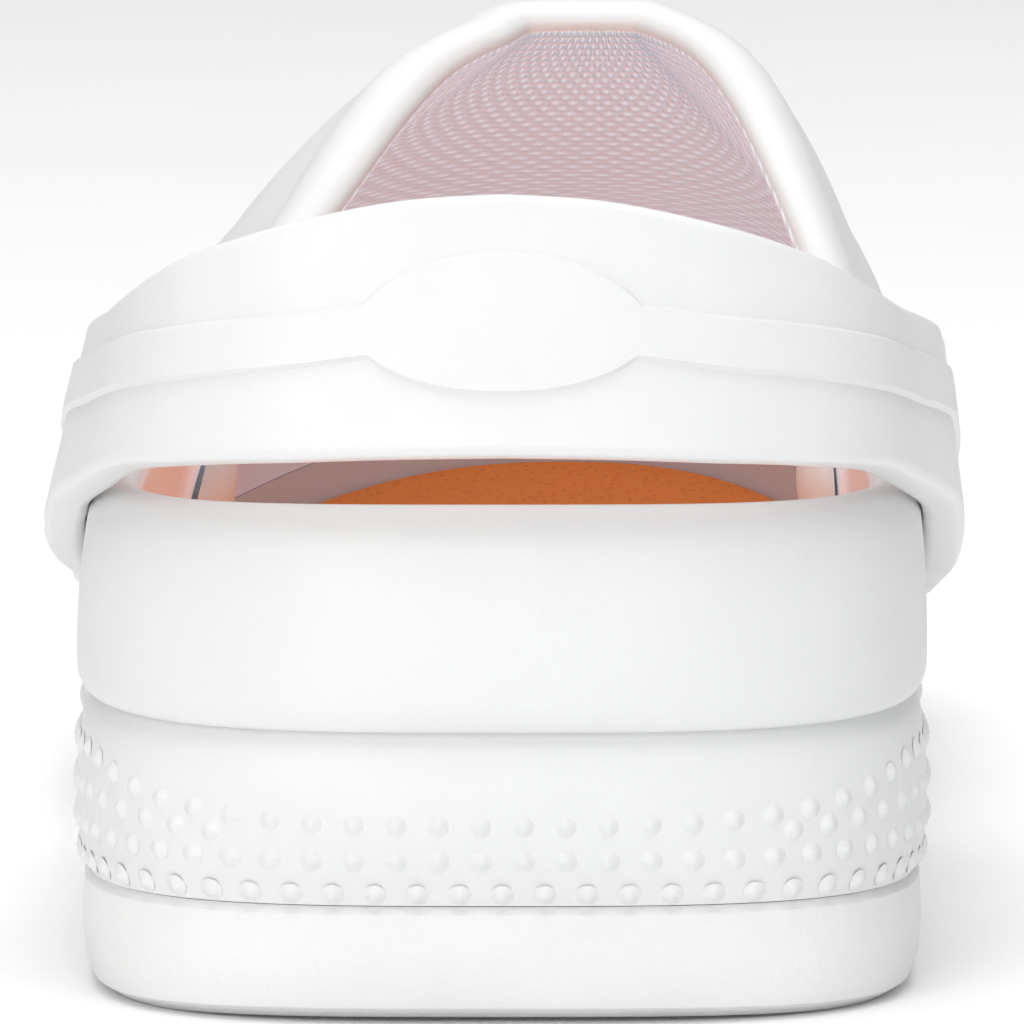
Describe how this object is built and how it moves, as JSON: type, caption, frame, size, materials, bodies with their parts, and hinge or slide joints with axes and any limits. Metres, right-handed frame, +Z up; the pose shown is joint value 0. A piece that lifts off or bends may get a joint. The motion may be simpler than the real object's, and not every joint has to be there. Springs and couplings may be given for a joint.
{
  "type": "chef clog",
  "caption": "White moulded kitchen clog for the left foot, with closed toe, open heel cup, pivoting heel strap, dotted midsole, lugged outsole and orange insole",
  "frame": {"origin": "on the floor, under the middle of the shoe's box", "axes": "+X to the medial side, +Y from heel to toe, +Z up"},
  "size_m": [0.1014, 0.287, 0.0959],
  "materials": {
    "outsole_rubber": "satin",
    "sole_foam": "satin",
    "insole_foam": "matte",
    "upper_foam": "satin",
    "strap_foam": "satin",
    "rivet_plastic": "satin"
  },
  "bodies": {
    "root": {"outsole": "outsole_rubber", "midsole": "sole_foam", "insole": "insole_foam", "upper": "upper_foam", "strap": "strap_foam", "rivet_lateral": "rivet_plastic", "rivet_medial": "rivet_plastic", "rivet_cap_lateral": "rivet_plastic", "rivet_cap_medial": "rivet_plastic"}
  },
  "joints": []
}
